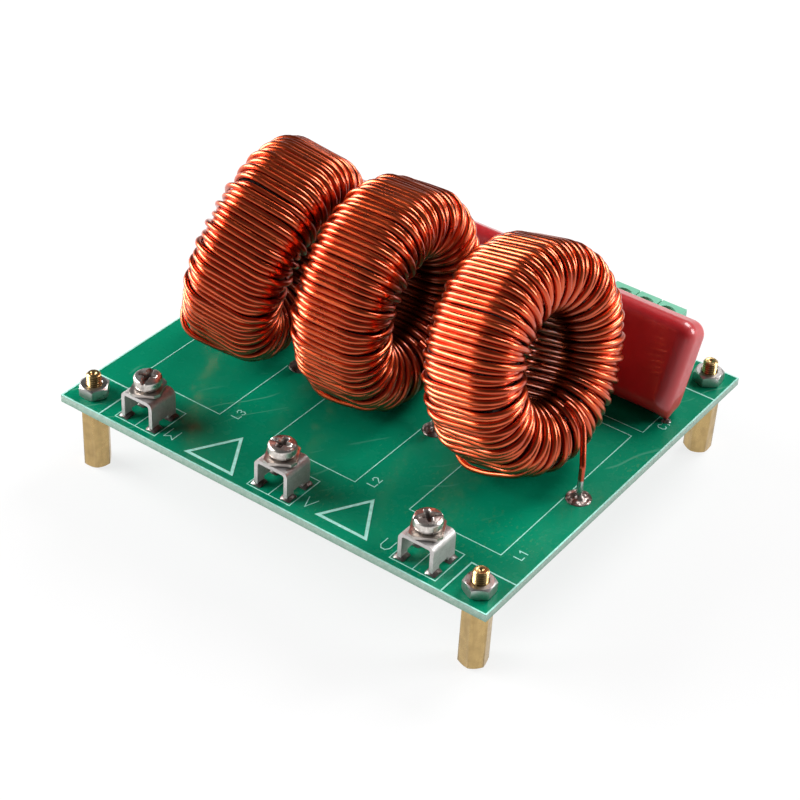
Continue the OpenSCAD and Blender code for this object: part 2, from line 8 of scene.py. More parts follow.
import bmesh
import bpy
import numpy as np
from mathutils import Matrix, Vector, noise


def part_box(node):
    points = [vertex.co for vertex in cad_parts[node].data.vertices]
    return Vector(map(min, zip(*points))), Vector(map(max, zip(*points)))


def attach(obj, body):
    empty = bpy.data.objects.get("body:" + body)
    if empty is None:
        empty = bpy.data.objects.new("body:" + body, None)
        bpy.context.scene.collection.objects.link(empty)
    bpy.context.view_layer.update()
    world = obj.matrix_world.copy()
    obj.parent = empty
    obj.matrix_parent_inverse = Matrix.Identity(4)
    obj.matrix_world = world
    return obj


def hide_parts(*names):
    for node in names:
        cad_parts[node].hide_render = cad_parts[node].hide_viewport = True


bl_info = {
    "name": "Three-Phase Filter Board",
    "version": (1, 0, 0),
    "blender": (4, 5, 0),
    "location": "3D View > Sidebar > Filter Board",
    "description": "Winds the chokes and finishes every piece of a filter board",
    "category": "Object",
}

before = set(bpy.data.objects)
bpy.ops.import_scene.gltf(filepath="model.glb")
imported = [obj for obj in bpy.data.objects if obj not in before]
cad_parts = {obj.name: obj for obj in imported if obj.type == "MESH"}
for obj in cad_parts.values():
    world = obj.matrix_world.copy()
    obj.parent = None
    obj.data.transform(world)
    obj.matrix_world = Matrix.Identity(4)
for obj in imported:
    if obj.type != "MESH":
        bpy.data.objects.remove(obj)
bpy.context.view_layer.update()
MM = 0.001
PHASES = ("l3", "l2", "l1")
BOARD_LOW, BOARD_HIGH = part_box("circuit_board")
TOP = BOARD_HIGH.z


# Settings that a user would change
def length_setting(name, description, millimetres):
    return bpy.props.FloatProperty(
        name=name, description=description, default=millimetres * MM, unit="LENGTH", precision=5
    )


def power_setting(name, description, watts):
    return bpy.props.FloatProperty(name=name, description=description, default=watts, unit="POWER")


def colour_setting(name, description, default):
    return bpy.props.FloatVectorProperty(
        name=name, description=description, default=default, subtype="COLOR", size=3, min=0, max=1
    )


class ChokeSettings(bpy.types.PropertyGroup):
    turns: bpy.props.IntProperty(
        name="Turns", description="Turns of wire on each choke", default=112, min=60, max=140
    )
    wire: length_setting("Wire", "Diameter of the enamelled wire", 1.2)
    outer: length_setting("Outer radius", "Radius over the finished winding", 22.1)
    hole: length_setting("Hole radius", "Radius of the hole through the winding", 7.9)
    half: length_setting("Half width", "From the middle to a face of the winding", 9.9)
    edge: length_setting("Edge bend", "Bend of a turn at the outer edge", 5.2)
    lip: length_setting("Lip bend", "Bend of a turn at the hole", 7.0)
    step: length_setting("Layer step", "Depth between the layers of turns in the hole", 0.7)
    wander: length_setting("Wander", "How far a turn strays sideways", 0.12)
    ride: length_setting("Ride", "How far a turn rises off the others", 0.3)
    spread_turn: bpy.props.FloatProperty(
        name="Spread from", description="Turn from which every third one sinks under the others", default=78.0
    )
    spread: length_setting("Spread", "How far those turns sink at the edges", 0.7)
    tinned: length_setting("Tinned end", "Bare tinned length of a wire end above the board", 4.4)


class FinishSettings(bpy.types.PropertyGroup):
    mask: colour_setting("Solder mask", "Green of the board's faces", (0.0006, 0.205, 0.105))
    ink: colour_setting("Print", "Colour of the printed lines", (0.45, 0.85, 0.76))
    copper: colour_setting("Enamelled copper", "Colour of the wound wire", (0.74, 0.115, 0.030))
    epoxy: colour_setting("Epoxy", "Red of the dipped capacitors", (0.46, 0.005, 0.010))
    housing: colour_setting("Housing", "Pale green of the output block", (0.17, 0.50, 0.34))
    brass: colour_setting("Brass", "Colour of the standoffs", (0.56, 0.39, 0.17))


class StageSettings(bpy.types.PropertyGroup):
    key: power_setting("Key lamp", "Power of the soft lamp at the left", 7.3)
    top: power_setting("Top lamp", "Power of the soft lamp overhead", 3.2)
    side: power_setting("Side lamp", "Power of the soft lamp behind at the right", 2.5)
    fill: power_setting("Fill lamp", "Power of the weak low lamp at the right", 0.03)
    sky: bpy.props.FloatProperty(
        name="Sky", description="Strength of the light from above", default=0.08, min=0
    )
    floor: colour_setting("Floor", "Colour of the floor", (0.8, 0.8, 0.8))


# Node trees
class Net:
    """Adds nodes to a tree: an input given as a socket is linked, anything else is its value."""

    def __init__(self, tree):
        self.tree = tree

    def add(self, kind, inputs=None, out=0, **settings):
        node = self.tree.nodes.new(kind)
        for key, value in settings.items():
            setattr(node, key, value)
        for key, value in (inputs or {}).items():
            socket = node.inputs[key]
            if isinstance(value, bpy.types.NodeSocket):
                self.tree.links.new(value, socket)
            else:
                socket.default_value = value
        return node.outputs[out]

    def math(self, operation, *values):
        return self.add("ShaderNodeMath", dict(enumerate(values)), operation=operation)

    def vector(self, x, y, z=0.0):
        return self.add("ShaderNodeCombineXYZ", {"X": x, "Y": y, "Z": z})

    def mix(self, factor, a, b):
        """A colour between a and b."""
        a, b = (v if isinstance(v, bpy.types.NodeSocket) else (*v[:3], 1.0) for v in (a, b))
        return self.add("ShaderNodeMix", {0: factor, 6: a, 7: b}, out=2, data_type="RGBA")

    def span(self, value, low, high, to_low=0.0, to_high=1.0, smooth=False):
        """A value's range turned into another one, held at its ends."""
        return self.add(
            "ShaderNodeMapRange",
            {0: value, 1: low, 2: high, 3: to_low, 4: to_high},
            interpolation_type="SMOOTHSTEP" if smooth else "LINEAR",
        )

    def noise(self, place, scale, detail=3.0, roughness=0.5):
        return self.add(
            "ShaderNodeTexNoise",
            {"Vector": place, "Scale": scale, "Detail": detail, "Roughness": roughness},
        )

    def stretch(self, place, x, y, z, turn=0.0):
        return self.add(
            "ShaderNodeMapping", {"Vector": place, "Scale": (x, y, z), "Rotation": (0.0, 0.0, turn)}
        )

    def bump(self, height, strength, distance=0.1 * MM, normal=None):
        inputs = {"Height": height, "Strength": strength, "Distance": distance}
        if normal is not None:
            inputs["Normal"] = normal
        return self.add("ShaderNodeBump", inputs)


class Finish(Net):
    """A material under way, with its shader, the place on the piece and the way its surface faces."""

    def __init__(self, name, **shader):
        self.material = bpy.data.materials.new(name)
        self.material.use_nodes = True
        super().__init__(self.material.node_tree)
        self.shader = self.tree.nodes["Principled BSDF"]
        for key, value in shader.items():
            self.shader.inputs[key.replace("_", " ")].default_value = value
        self.place = self.add("ShaderNodeTexCoord", out=3)

    def set(self, name, value):
        if isinstance(value, bpy.types.NodeSocket):
            self.tree.links.new(value, self.shader.inputs[name])
        else:
            self.shader.inputs[name].default_value = value

    def facing(self, axis):
        """How much the surface faces along an axis, 0 to 1 both ways."""
        normal = self.add("ShaderNodeNewGeometry", out=1)
        parts = self.tree.nodes.new("ShaderNodeSeparateXYZ")
        self.tree.links.new(normal, parts.inputs[0])
        return self.math("ABSOLUTE", parts.outputs[axis])

    def parts(self):
        """The place's X, Y and Z."""
        node = self.tree.nodes.new("ShaderNodeSeparateXYZ")
        self.tree.links.new(self.place, node.inputs[0])
        return node.outputs


# Finishes
def solder_mask(colour):
    """Glossy green lacquer over laminate, pale at the sawn edges, with faint scuffs and flux."""
    f = Finish("Solder mask", Specular_IOR_Level=0.10, Coat_Weight=0.05, Coat_Roughness=0.06)
    cloud = f.noise(f.place, 45, 3)
    fleck = f.noise(f.place, 2600, 2)
    dark, light = [c * 0.86 for c in colour], [min(1, c * 1.12) for c in colour]
    green = f.mix(f.span(cloud, 0.3, 0.7), dark, light)
    green = f.mix(f.span(fleck, 0.45, 0.75, 0, 0.12), green, (0.005, 0.33, 0.22))
    speck = f.span(f.noise(f.stretch(f.place, 1, 0.6, 1, 0.7), 1500, 3, 0.6), 0.58, 0.66)
    near = f.noise(f.place, 34, 2, 0.6)
    flux = f.math("MULTIPLY", speck, f.span(near, 0.56, 0.66, 0, 0.4))
    green = f.mix(flux, green, (0.06, 0.22, 0.08))
    lines = {"Scale": 55.0, "Distortion": 9.0, "Detail": 2.0, "Detail Scale": 0.6}
    lines = f.add("ShaderNodeTexWave", {"Vector": f.stretch(f.place, 1, 1, 1, 0.5), **lines})
    patch = f.span(f.noise(f.place, 75, 2), 0.57, 0.64, 0, 0.3)
    scratch = f.math("MULTIPLY", f.span(lines, 0.985, 1.0), patch)
    green = f.mix(scratch, green, (0.16, 0.45, 0.33))
    layers = {"Vector": f.place, "Scale": 900.0, "Distortion": 1.0}
    weave = f.add("ShaderNodeTexWave", layers, bands_direction="Z")
    grit = f.math("MULTIPLY", weave, f.span(f.noise(f.place, 1300, 3, 0.6), 0.35, 0.65))
    edge = f.mix(grit, (0.24, 0.35, 0.29), (0.40, 0.50, 0.44))
    under = f.span(f.parts()[2], BOARD_LOW.z, TOP - 0.5 * MM, 0.45, 0, True)
    edge = f.mix(under, edge, (0.10, 0.21, 0.15))
    flat = f.span(f.facing(2), 0.6, 0.9)
    f.set("Base Color", f.mix(flat, edge, green))
    rough = f.span(f.noise(f.place, 300, 4), 0.3, 0.7, 0.2, 0.32)
    f.set("Roughness", f.math("ADD", rough, f.math("MULTIPLY", f.math("ADD", flux, scratch), 0.5)))
    f.set("Normal", f.bump(f.noise(f.place, 1400, 2), 0.06))
    return f.material


def printed_ink(colour):
    """Screen-printed ink with a slightly broken surface."""
    f = Finish("Printed ink", Specular_IOR_Level=0.3)
    thin = f.span(f.noise(f.place, 900, 4, 0.6), 0.35, 0.75)
    f.set("Base Color", f.mix(thin, colour, (colour[0] * 0.55, colour[1] * 0.72, colour[2] * 0.65)))
    f.set("Roughness", f.span(f.noise(f.place, 3000, 2), 0.3, 0.7, 0.45, 0.65))
    f.set("Normal", f.bump(f.noise(f.place, 5000, 2), 0.1))
    return f.material


def bright_metal(
    name, colour, dark, roughness, grain=(1, 1, 1), scale=900, bump=0.12, stain=0.3, contrast=0.35, bare=1.0
):
    """Bare or plated metal with a grain, blotches of tarnish and uneven gloss, with painted shade deep in its
    grooves.
    """
    f = Finish(name, Metallic=bare)
    lines = f.noise(f.stretch(f.place, *grain), scale, 4, 0.6)
    blotch = f.noise(f.place, 420, 4, 0.6)
    base = f.mix(f.span(blotch, 0.42, 0.72, 0, stain), colour, dark)
    base = f.mix(f.span(lines, 0.35, 0.75, 0, contrast), base, dark)
    # Painted shade: darkened where the piece's deep attribute marks a groove, a recess or a thread's valley.
    deep = f.add("ShaderNodeAttribute", out=2, attribute_name="deep")
    base = f.mix(deep, base, [c * 0.16 for c in dark])
    f.set("Base Color", base)
    rough = f.span(lines, 0.3, 0.7, roughness - 0.05, roughness + 0.08)
    f.set("Roughness", f.math("ADD", rough, f.span(blotch, 0.5, 0.8, 0, 0.12)))
    f.set("Normal", f.bump(lines, bump, 0.05 * MM))
    return f.material


def enamelled_copper(colour, tinned=None):
    """Copper under clear amber enamel, each turn a little lighter or darker, with painted shade deep in the
    hole.
    Below the height tinned it is bare tin."""
    f = Finish("Enamelled copper", Metallic=1.0, Coat_Weight=0.6, Coat_Roughness=0.12, Coat_IOR=1.5)
    tone = f.add("ShaderNodeAttribute", out=2, attribute_name="tone")
    deep = (colour[0] * 0.72, colour[1] * 0.5, colour[2] * 0.4)
    base = f.mix(f.span(tone, 0.3, 0.7, 0, 1), deep, colour)
    stain = f.span(f.noise(f.place, 380, 4, 0.6), 0.45, 0.75, 0, 0.45)
    base = f.mix(stain, base, (colour[0] * 0.5, colour[1] * 0.3, colour[2] * 0.2))
    # Painted shade: the copper is darkened where the turns lie deep in the hole.
    painted_hole_shade = f.add("ShaderNodeAttribute", out=2, attribute_name="deep")
    shade = (colour[0] * 0.14, colour[1] * 0.2, colour[2] * 0.25)
    base = f.mix(f.math("MULTIPLY", painted_hole_shade, 0.92), base, shade)
    if tinned is not None:
        uneven = f.math("MULTIPLY", f.noise(f.place, 700, 2), 1.2 * MM)
        height = f.math("ADD", f.parts()[2], uneven)
        bare = f.span(height, tinned + 0.4 * MM, tinned + 0.8 * MM, 1, 0)
        base = f.mix(bare, base, (0.55, 0.54, 0.53))
    f.set("Base Color", base)
    f.set("Roughness", f.span(f.noise(f.place, 300, 2), 0.3, 0.7, 0.26, 0.34))
    f.set("Normal", f.bump(f.noise(f.place, 260, 1), 0.01))
    return f.material


def dipped_epoxy(colour):
    """Thick glossy epoxy with the slow waves of a dipped coat."""
    f = Finish("Dipped epoxy", Specular_IOR_Level=0.5, Coat_Weight=0.5, Coat_Roughness=0.06)
    cloud = f.span(f.noise(f.place, 160, 3), 0.3, 0.7)
    f.set("Base Color", f.mix(cloud, colour, (colour[0] * 0.8, colour[1] * 0.7, colour[2] * 0.7)))
    f.set("Roughness", f.span(f.noise(f.place, 900, 3), 0.3, 0.7, 0.34, 0.46))
    wave = f.bump(f.noise(f.place, 150, 2), 0.3, 0.4 * MM)
    f.set("Normal", f.bump(f.noise(f.place, 2600, 2), 0.04, normal=wave))
    return f.material


def moulded_plastic(name, colour):
    """Matt plastic with a fine grain."""
    f = Finish(name, Specular_IOR_Level=0.45)
    cloud = f.span(f.noise(f.place, 240, 3), 0.3, 0.7)
    f.set("Base Color", f.mix(cloud, colour, [c * 0.9 for c in colour]))
    f.set("Roughness", f.span(f.noise(f.place, 1300, 3), 0.3, 0.7, 0.32, 0.46))
    f.set("Normal", f.bump(f.noise(f.place, 5200, 3), 0.12))
    return f.material


def powder_core():
    """Dark coarse pressed powder."""
    f = Finish("Powder core", Specular_IOR_Level=0.3)
    grain = f.noise(f.place, 4200, 3)
    f.set("Base Color", f.mix(f.span(grain, 0.35, 0.7), (0.02, 0.018, 0.017), (0.05, 0.045, 0.04)))
    f.set("Roughness", f.span(grain, 0.3, 0.7, 0.6, 0.85))
    f.set("Normal", f.bump(grain, 0.3))
    return f.material


def old_solder(name, colour, dark):
    """Hand-made solder with dull dimples and burnt flux."""
    f = Finish(name, Metallic=0.85)
    lump = f.noise(f.place, 900, 4, 0.6)
    burn = f.noise(f.place, 500, 3)
    f.set("Base Color", f.mix(f.span(burn, 0.42, 0.66), colour, dark))
    f.set("Metallic", f.span(burn, 0.45, 0.7, 0.95, 0.3))
    f.set("Roughness", f.span(lump, 0.3, 0.7, 0.28, 0.5))
    f.set("Normal", f.bump(lump, 0.5, 0.15 * MM))
    return f.material


# Pieces
def dress(names, material):
    """Puts a finish on CAD nodes."""
    for name in names:
        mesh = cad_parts[name].data
        mesh.materials.clear()
        mesh.materials.append(material)


def new_piece(name, mesh, replaced):
    """Shows a mesh in place of CAD nodes."""
    piece = bpy.data.objects.new(name, mesh)
    bpy.context.scene.collection.objects.link(piece)
    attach(piece, "root")
    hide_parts(*replaced)


def choke_axes(phase):
    """Where a choke stands: its core's middle, the way along its axis, across it and up it."""
    ring = np.array([v.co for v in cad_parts["core_" + phase].data.vertices])
    middle = (ring.min(0) + ring.max(0)) / 2
    for _ in range(3):
        middle = middle + (ring - middle).mean(0)
    along = Vector(np.linalg.svd(ring - middle, full_matrices=False)[2][2])
    if along.x < 0:
        along.negate()
    across = Vector((0, 0, 1)).cross(along).normalized()
    return Vector(middle), along, across, along.cross(across)


def choke_matrix(phase):
    """Takes a winding made round Z to its choke."""
    middle, along, across, up = choke_axes(phase)
    turn = Matrix((across, up, along)).transposed().to_4x4()
    return Matrix.Translation(middle) @ turn


WINDING_INPUTS = (
    ("Turns", "Int"),
    ("Points per turn", "Int"),
    ("Outer radius", "Float"),
    ("Hole radius", "Float"),
    ("Half width", "Float"),
    ("Edge bend", "Float"),
    ("Lip bend", "Float"),
    ("Wire diameter", "Float"),
    ("Layer step", "Float"),
    ("Wander", "Float"),
    ("Ride", "Float"),
    ("Start", "Float"),
    ("Span", "Float"),
    ("Loose turn 1", "Float"),
    ("Loose bulge 1", "Float"),
    ("Loose turn 2", "Float"),
    ("Loose bulge 2", "Float"),
    ("Gap turn", "Float"),
    ("Gap", "Float"),
    ("Spread turn", "Float"),
    ("Spread", "Float"),
    ("Seed", "Int"),
    ("Finish", "Material"),
)


# How deep the turns of each group of four lie in the hole, in layer steps
LAYERS = (0, 2, 1, 3)
# How far a turn's middle dips under the outer radius halfway along the barrel, in wire diameters
BARREL_DIP = 0.55
# How much a turn that lies deep in the hole is drawn in on the barrel, on the faces and in its two bends
DRAW_BARREL, DRAW_FACE, DRAW_EDGE, DRAW_LIP = 0.16, 0.6, 0.2, 0.4
# The number of turns over which a loose turn, a gap and the spread come and go
LOOSE_REACH, GAP_REACH, SPREAD_REACH = 0.32, 7.0, 16.0
# The share of the spread that every third turn sinks, while the others rise by the rest and close over it
SPREAD_SINK, SPREAD_CLOSE = 0.8, 0.35
# How much narrower a sunk turn gets, as a share of its width for each metre that it sinks
SPREAD_NARROW = 40.0
# Where a choke's winding starts and how far round it goes
WINDING_START, WINDING_SPAN = math.radians(-88), math.radians(359.5)
# How finely the wire is drawn
POINTS_PER_TURN, WIRE_SIDES = 52, 12


def turn_section(net, size, lower):
    """One turn's path through its middle: x is the radius and y the place along the choke's axis.
    It starts at the middle of the barrel, and lower is how far the turn lies under the others in the hole."""
    index = net.add("GeometryNodeInputIndex")
    radius = net.math("MULTIPLY", size["Wire diameter"], 0.5)
    outer = net.math("SUBTRACT", size["Outer radius"], radius)
    outer = net.math("SUBTRACT", outer, net.math("MULTIPLY", lower, DRAW_BARREL))
    hole = net.math("ADD", net.math("ADD", size["Hole radius"], radius), lower)
    half = net.math("SUBTRACT", size["Half width"], radius)
    half = net.math("SUBTRACT", half, net.math("MULTIPLY", lower, DRAW_FACE))
    minus = net.math("MULTIPLY", half, -1.0)

    def by_corner(values):
        node = net.tree.nodes.new("GeometryNodeIndexSwitch")
        node.data_type = "FLOAT"
        while len(node.index_switch_items) < len(values):
            node.index_switch_items.new()
        net.tree.links.new(index, node.inputs["Index"])
        for k, value in enumerate(values):
            if isinstance(value, bpy.types.NodeSocket):
                net.tree.links.new(value, node.inputs[k + 1])
            else:
                node.inputs[k + 1].default_value = value
        return node.outputs[0]

    dip = net.math("MULTIPLY", size["Wire diameter"], BARREL_DIP)
    start = net.math("SUBTRACT", size["Outer radius"], dip)
    x = by_corner([start, outer, hole, hole, outer])
    y = by_corner([0.0, half, half, minus, minus])
    line = net.add("GeometryNodeMeshLine", {"Count": 5})
    line = net.add("GeometryNodeSetPosition", {"Geometry": line, "Position": net.vector(x, y)})
    curve = net.add("GeometryNodeMeshToCurve", {"Mesh": line})
    curve = net.add("GeometryNodeSetSplineCyclic", {"Geometry": curve, "Cyclic": True})
    edge = net.math("SUBTRACT", size["Edge bend"], net.math("MULTIPLY", lower, DRAW_EDGE))
    lip = net.math("SUBTRACT", size["Lip bend"], net.math("MULTIPLY", lower, DRAW_LIP))
    bend = by_corner([0.0, edge, lip, lip, edge])
    bends = {"Curve": curve, "Radius": bend, "Limit Radius": True, "Count": 8}
    return net.add("GeometryNodeFilletCurve", bends, mode="POLY")


def winding_tree():
    """Winds one wire round a ring: the turns lie at four depths, so that all fit through the hole."""
    tree = bpy.data.node_groups.new("Winding", "GeometryNodeTree")
    for name, kind in WINDING_INPUTS:
        tree.interface.new_socket(name, in_out="INPUT", socket_type="NodeSocket" + kind)
    tree.interface.new_socket("Geometry", in_out="OUTPUT", socket_type="NodeSocketGeometry")
    net = Net(tree)
    size = {s.name: s for s in tree.nodes.new("NodeGroupInput").outputs}
    m = net.math

    count = m("ADD", m("MULTIPLY", size["Turns"], size["Points per turn"]), 1.0)
    place = m("DIVIDE", net.add("GeometryNodeInputIndex"), size["Points per turn"])
    turn = m("FLOOR", m("ADD", place, 0.0001))
    share = m("MAXIMUM", m("SUBTRACT", place, turn), 0.0)

    def sample(layer):
        curve = turn_section(net, size, m("MULTIPLY", size["Layer step"], float(layer)))
        return net.add("GeometryNodeSampleCurve", {"Curves": curve, "Factor": share}, out=1, mode="FACTOR")

    pick = tree.nodes.new("GeometryNodeIndexSwitch")
    pick.data_type = "VECTOR"
    while len(pick.index_switch_items) < len(LAYERS):
        pick.index_switch_items.new()
    tree.links.new(m("FLOORED_MODULO", turn, float(len(LAYERS))), pick.inputs["Index"])
    for k, layer in enumerate(LAYERS):
        tree.links.new(sample(layer), pick.inputs[k + 1])
    parts = tree.nodes.new("ShaderNodeSeparateXYZ")
    tree.links.new(pick.outputs[0], parts.inputs[0])
    radius, along = parts.outputs[0], parts.outputs[1]

    def stray(scale, offset):
        w = m("ADD", m("MULTIPLY", place, scale), m("ADD", m("MULTIPLY", size["Seed"], 37.3), offset))
        wave = net.add("ShaderNodeTexNoise", {"W": w, "Scale": 1.0, "Detail": 1.0}, noise_dimensions="1D")
        return m("SUBTRACT", wave, 0.5)

    depth = m("SUBTRACT", size["Outer radius"], radius)
    reach = m("SUBTRACT", size["Outer radius"], size["Hole radius"])
    inward = m("DIVIDE", depth, reach)
    outward = m("MAXIMUM", m("SUBTRACT", 1.0, inward), 0.0)
    angle = m("ADD", size["Start"], m("MULTIPLY", size["Span"], m("DIVIDE", place, size["Turns"])))
    sideways = m("MULTIPLY", size["Wander"], m("MULTIPLY", stray(2.3, 0.0), 4.0))
    angle = m("ADD", angle, m("DIVIDE", sideways, radius))
    rise = m("MULTIPLY", size["Ride"], m("MULTIPLY", outward, 3.0))
    slack = m("MULTIPLY", m("MAXIMUM", stray(1.7, 11.0), -0.2), rise)
    far = m("ADD", radius, slack)
    along = m("MULTIPLY", along, m("ADD", 1.0, m("MULTIPLY", stray(1.1, 23.0), 0.06)))
    for k in "12":
        off = m("ABSOLUTE", m("SUBTRACT", place, size["Loose turn " + k]))
        swell = net.span(off, 0.0, LOOSE_REACH, 1.0, 0.0, smooth=True)
        loose = m("MULTIPLY", size["Loose bulge " + k], swell)
        far = m("ADD", far, loose)
        along = m("SUBTRACT", along, m("MULTIPLY", loose, 0.6))
    past = m("SUBTRACT", place, size["Gap turn"])
    near = net.span(m("ABSOLUTE", past), 0.0, GAP_REACH, 0.5, 0.0)
    angle = m("ADD", angle, m("MULTIPLY", m("MULTIPLY", size["Gap"], near), m("SIGN", past)))
    # From the spread turn on every third turn sinks off the barrel and its neighbours close over it
    late = net.span(m("SUBTRACT", place, size["Spread turn"]), 0.0, SPREAD_REACH, 0.0, 1.0, smooth=True)
    leaving = net.span(share, 0.0, 0.12, 0.0, 1.0, smooth=True)
    coming = net.span(share, 0.88, 1.0, 1.0, 0.0, smooth=True)
    ends = m("MULTIPLY", leaving, coming)
    amount = m("MULTIPLY", m("MULTIPLY", size["Spread"], late), m("MULTIPLY", ends, outward))
    third = m("SUBTRACT", m("FLOORED_MODULO", turn, 3.0), 1.0)
    aside = m("MULTIPLY", m("MULTIPLY", third, amount), -SPREAD_CLOSE)
    angle = m("ADD", angle, m("DIVIDE", aside, radius))
    sunk = m("MULTIPLY", amount, m("SUBTRACT", SPREAD_SINK, m("ABSOLUTE", third)))
    far = m("SUBTRACT", far, sunk)
    along = m("MULTIPLY", along, m("SUBTRACT", 1.0, m("MULTIPLY", sunk, SPREAD_NARROW)))

    def store(geometry, name, value):
        held = {"Geometry": geometry, "Name": name, "Value": value}
        return net.add("GeometryNodeStoreNamedAttribute", held, data_type="FLOAT")

    line = net.add("GeometryNodeMeshLine", {"Count": count})
    spot = net.vector(m("MULTIPLY", far, m("COSINE", angle)), m("MULTIPLY", far, m("SINE", angle)), along)
    line = net.add("GeometryNodeSetPosition", {"Geometry": line, "Position": spot})
    wave = {"W": m("MULTIPLY", place, 1.9), "Scale": 1.0, "Detail": 2.0}
    line = store(line, "tone", net.add("ShaderNodeTexNoise", wave, noise_dimensions="1D"))
    # How deep in the hole a point lies, which the copper's finish turns into painted shade.
    line = store(line, "deep", net.span(inward, 0.62, 1.0, 0.0, 1.0, smooth=True))
    curve = net.add("GeometryNodeMeshToCurve", {"Mesh": line})
    wire = {"Resolution": WIRE_SIDES, "Radius": m("MULTIPLY", size["Wire diameter"], 0.5)}
    ring = net.add("GeometryNodeCurvePrimitiveCircle", wire)
    tube = net.add("GeometryNodeCurveToMesh", {"Curve": curve, "Profile Curve": ring, "Fill Caps": True})
    tube = net.add("GeometryNodeRealizeInstances", {"Geometry": tube})
    tube = net.add("GeometryNodeSetShadeSmooth", {"Geometry": tube})
    tube = net.add("GeometryNodeSetMaterial", {"Geometry": tube, "Material": size["Finish"]})
    end = tree.nodes.new("NodeGroupOutput")
    tree.links.new(tube, end.inputs[0])
    return tree


def grow(tree, values):
    """Runs a tree with its named inputs and gives the plain mesh."""
    carrier = bpy.data.objects.new("carrier", bpy.data.meshes.new("carrier"))
    bpy.context.scene.collection.objects.link(carrier)
    modifier = carrier.modifiers.new("Grow", "NODES")
    modifier.node_group = tree
    sockets = {i.name: i.identifier for i in tree.interface.items_tree if i.in_out == "INPUT"}
    for name, value in values.items():
        modifier[sockets[name]] = value
    depsgraph = bpy.context.evaluated_depsgraph_get()
    mesh = bpy.data.meshes.new_from_object(carrier.evaluated_get(depsgraph))
    bpy.data.objects.remove(carrier)
    return mesh


def join_meshes(name, meshes, finish):
    """One mesh from several, with one finish."""
    whole = bmesh.new()
    for mesh in meshes:
        whole.from_mesh(mesh)
        bpy.data.meshes.remove(mesh)
    joined = bpy.data.meshes.new(name)
    whole.to_mesh(joined)
    whole.free()
    joined.materials.append(finish)
    return joined


def shade(mesh):
    """Smooth shading, with hard lines where faces meet at a sharp angle."""
    mesh.shade_smooth()
    mesh.set_sharp_from_angle(angle=math.radians(38))


def turned(name, profile, sides, shape):
    """A closed turned body from pairs of radius and height that start and end on its axis, top first.
    Shape moves a point, given as x, y and z, and tells how deep in a groove it lies, for painted shade there."""
    turns = np.arange(sides) * 2 * math.pi / sides
    points = [(0.0, 0.0, profile[0][1])]
    points += [(r * math.cos(a), r * math.sin(a), z) for r, z in profile[1:-1] for a in turns]
    points.append((0.0, 0.0, profile[-1][1]))
    *places, grooves = zip(*(shape(*point) for point in points))
    points = list(zip(*places))
    rings = len(profile) - 2
    last = len(points) - 1
    faces = []
    for j in range(sides):
        k = (j + 1) % sides
        faces.append((0, 1 + j, 1 + k))
        faces.append((last, 1 + (rings - 1) * sides + k, 1 + (rings - 1) * sides + j))
        for i in range(rings - 1):
            a = 1 + i * sides
            faces.append((a + j, a + sides + j, a + sides + k, a + k))
    mesh = bpy.data.meshes.new(name)
    mesh.from_pydata(points, [], faces)
    shade(mesh)
    mesh.attributes.new("deep", "FLOAT", "POINT").data.foreach_set("value", grooves)
    return mesh


def steps(low, high, x):
    """Rises smoothly from 0 at low to 1 at high."""
    t = min(1.0, max(0.0, (x - low) / (high - low)))
    return t * t * (3 - 2 * t)


def screw_mesh(head_r, head_h, shank_r, shank_l, turn):
    """A pan head screw with a slot across a cross recess, its head standing on z = 0, in millimetres."""
    fillet, dome = 0.6, 0.5
    flat = head_r - fillet
    profile = [(r, head_h - dome * (r / head_r) ** 2) for r in np.linspace(0, flat, 22)]
    edge = profile[-1][1]
    bends = np.linspace(0.2, 1.5, 6)
    profile += [(flat + fillet * math.sin(a), edge - fillet * (1 - math.cos(a))) for a in bends]
    profile += [(head_r, z) for z in np.linspace(edge - fillet - 0.05, 0.15, 6)]
    profile += [(head_r - 0.12, 0.0), (shank_r, 0.0)]
    thread = np.arange(0, shank_l - 0.3, 0.25)
    profile += [(shank_r - (0.2 if k % 2 else 0.0), -0.2 - z) for k, z in enumerate(thread)]
    profile += [(shank_r - 0.3, -shank_l), (0.0, -shank_l)]
    cos, sin = math.cos(turn), math.sin(turn)

    def arm(off, out):
        """Depth of an arm of the cross, off its line and out from the middle."""
        return (1 - steps(0.25, 0.75, off)) * (1 - steps(1.5, 2.0, out)) * (1.25 - 0.3 * out)

    def shape(x, y, z):
        u, v = abs(x * cos + y * sin), abs(y * cos - x * sin)
        slot = 0.75 * (1 - steps(0.2, 0.6, v))
        sunk = max(slot, arm(u, v), arm(v, u)) if z > 0.3 else 0.0
        # The last value is how deep in the recess a point lies, which the finish paints as shade.
        return x, y, min(z, head_h - sunk), 0.9 * steps(0.4, 1.2, sunk)

    mesh = turned("screw", profile, 128, shape)
    mesh.transform(Matrix.Scale(MM, 4))
    return mesh


def washer_mesh(inner, outer, thick, slit_at, slit, rise):
    """A split spring washer standing on z = 0, in millimetres, its ends a little out of line."""
    b = 0.1
    section = [(inner + b, 0), (outer - b, 0), (outer, b), (outer, thick - b), (outer - b, thick)]
    section += [(inner + b, thick), (inner, thick - b), (inner, b)]
    count = 72
    points, faces = [], []
    for k in range(count + 1):
        t = k / count
        for r, z in section:
            a = slit_at + (slit / 2 + z * 0.8) / outer + t * (2 * math.pi - slit / outer)
            points.append((r * math.cos(a), r * math.sin(a), z + rise * (t - 0.5)))
    n = len(section)
    for k in range(count):
        for j in range(n):
            a, c = k * n + j, k * n + (j + 1) % n
            faces.append((a, a + n, c + n, c))
    faces.append(tuple(range(n)))
    faces.append(tuple(reversed(range(count * n, count * n + n))))
    mesh = bpy.data.meshes.new("washer")
    mesh.from_pydata(points, [], faces)
    shade(mesh)
    mesh.transform(Matrix.Scale(MM, 4))
    return mesh


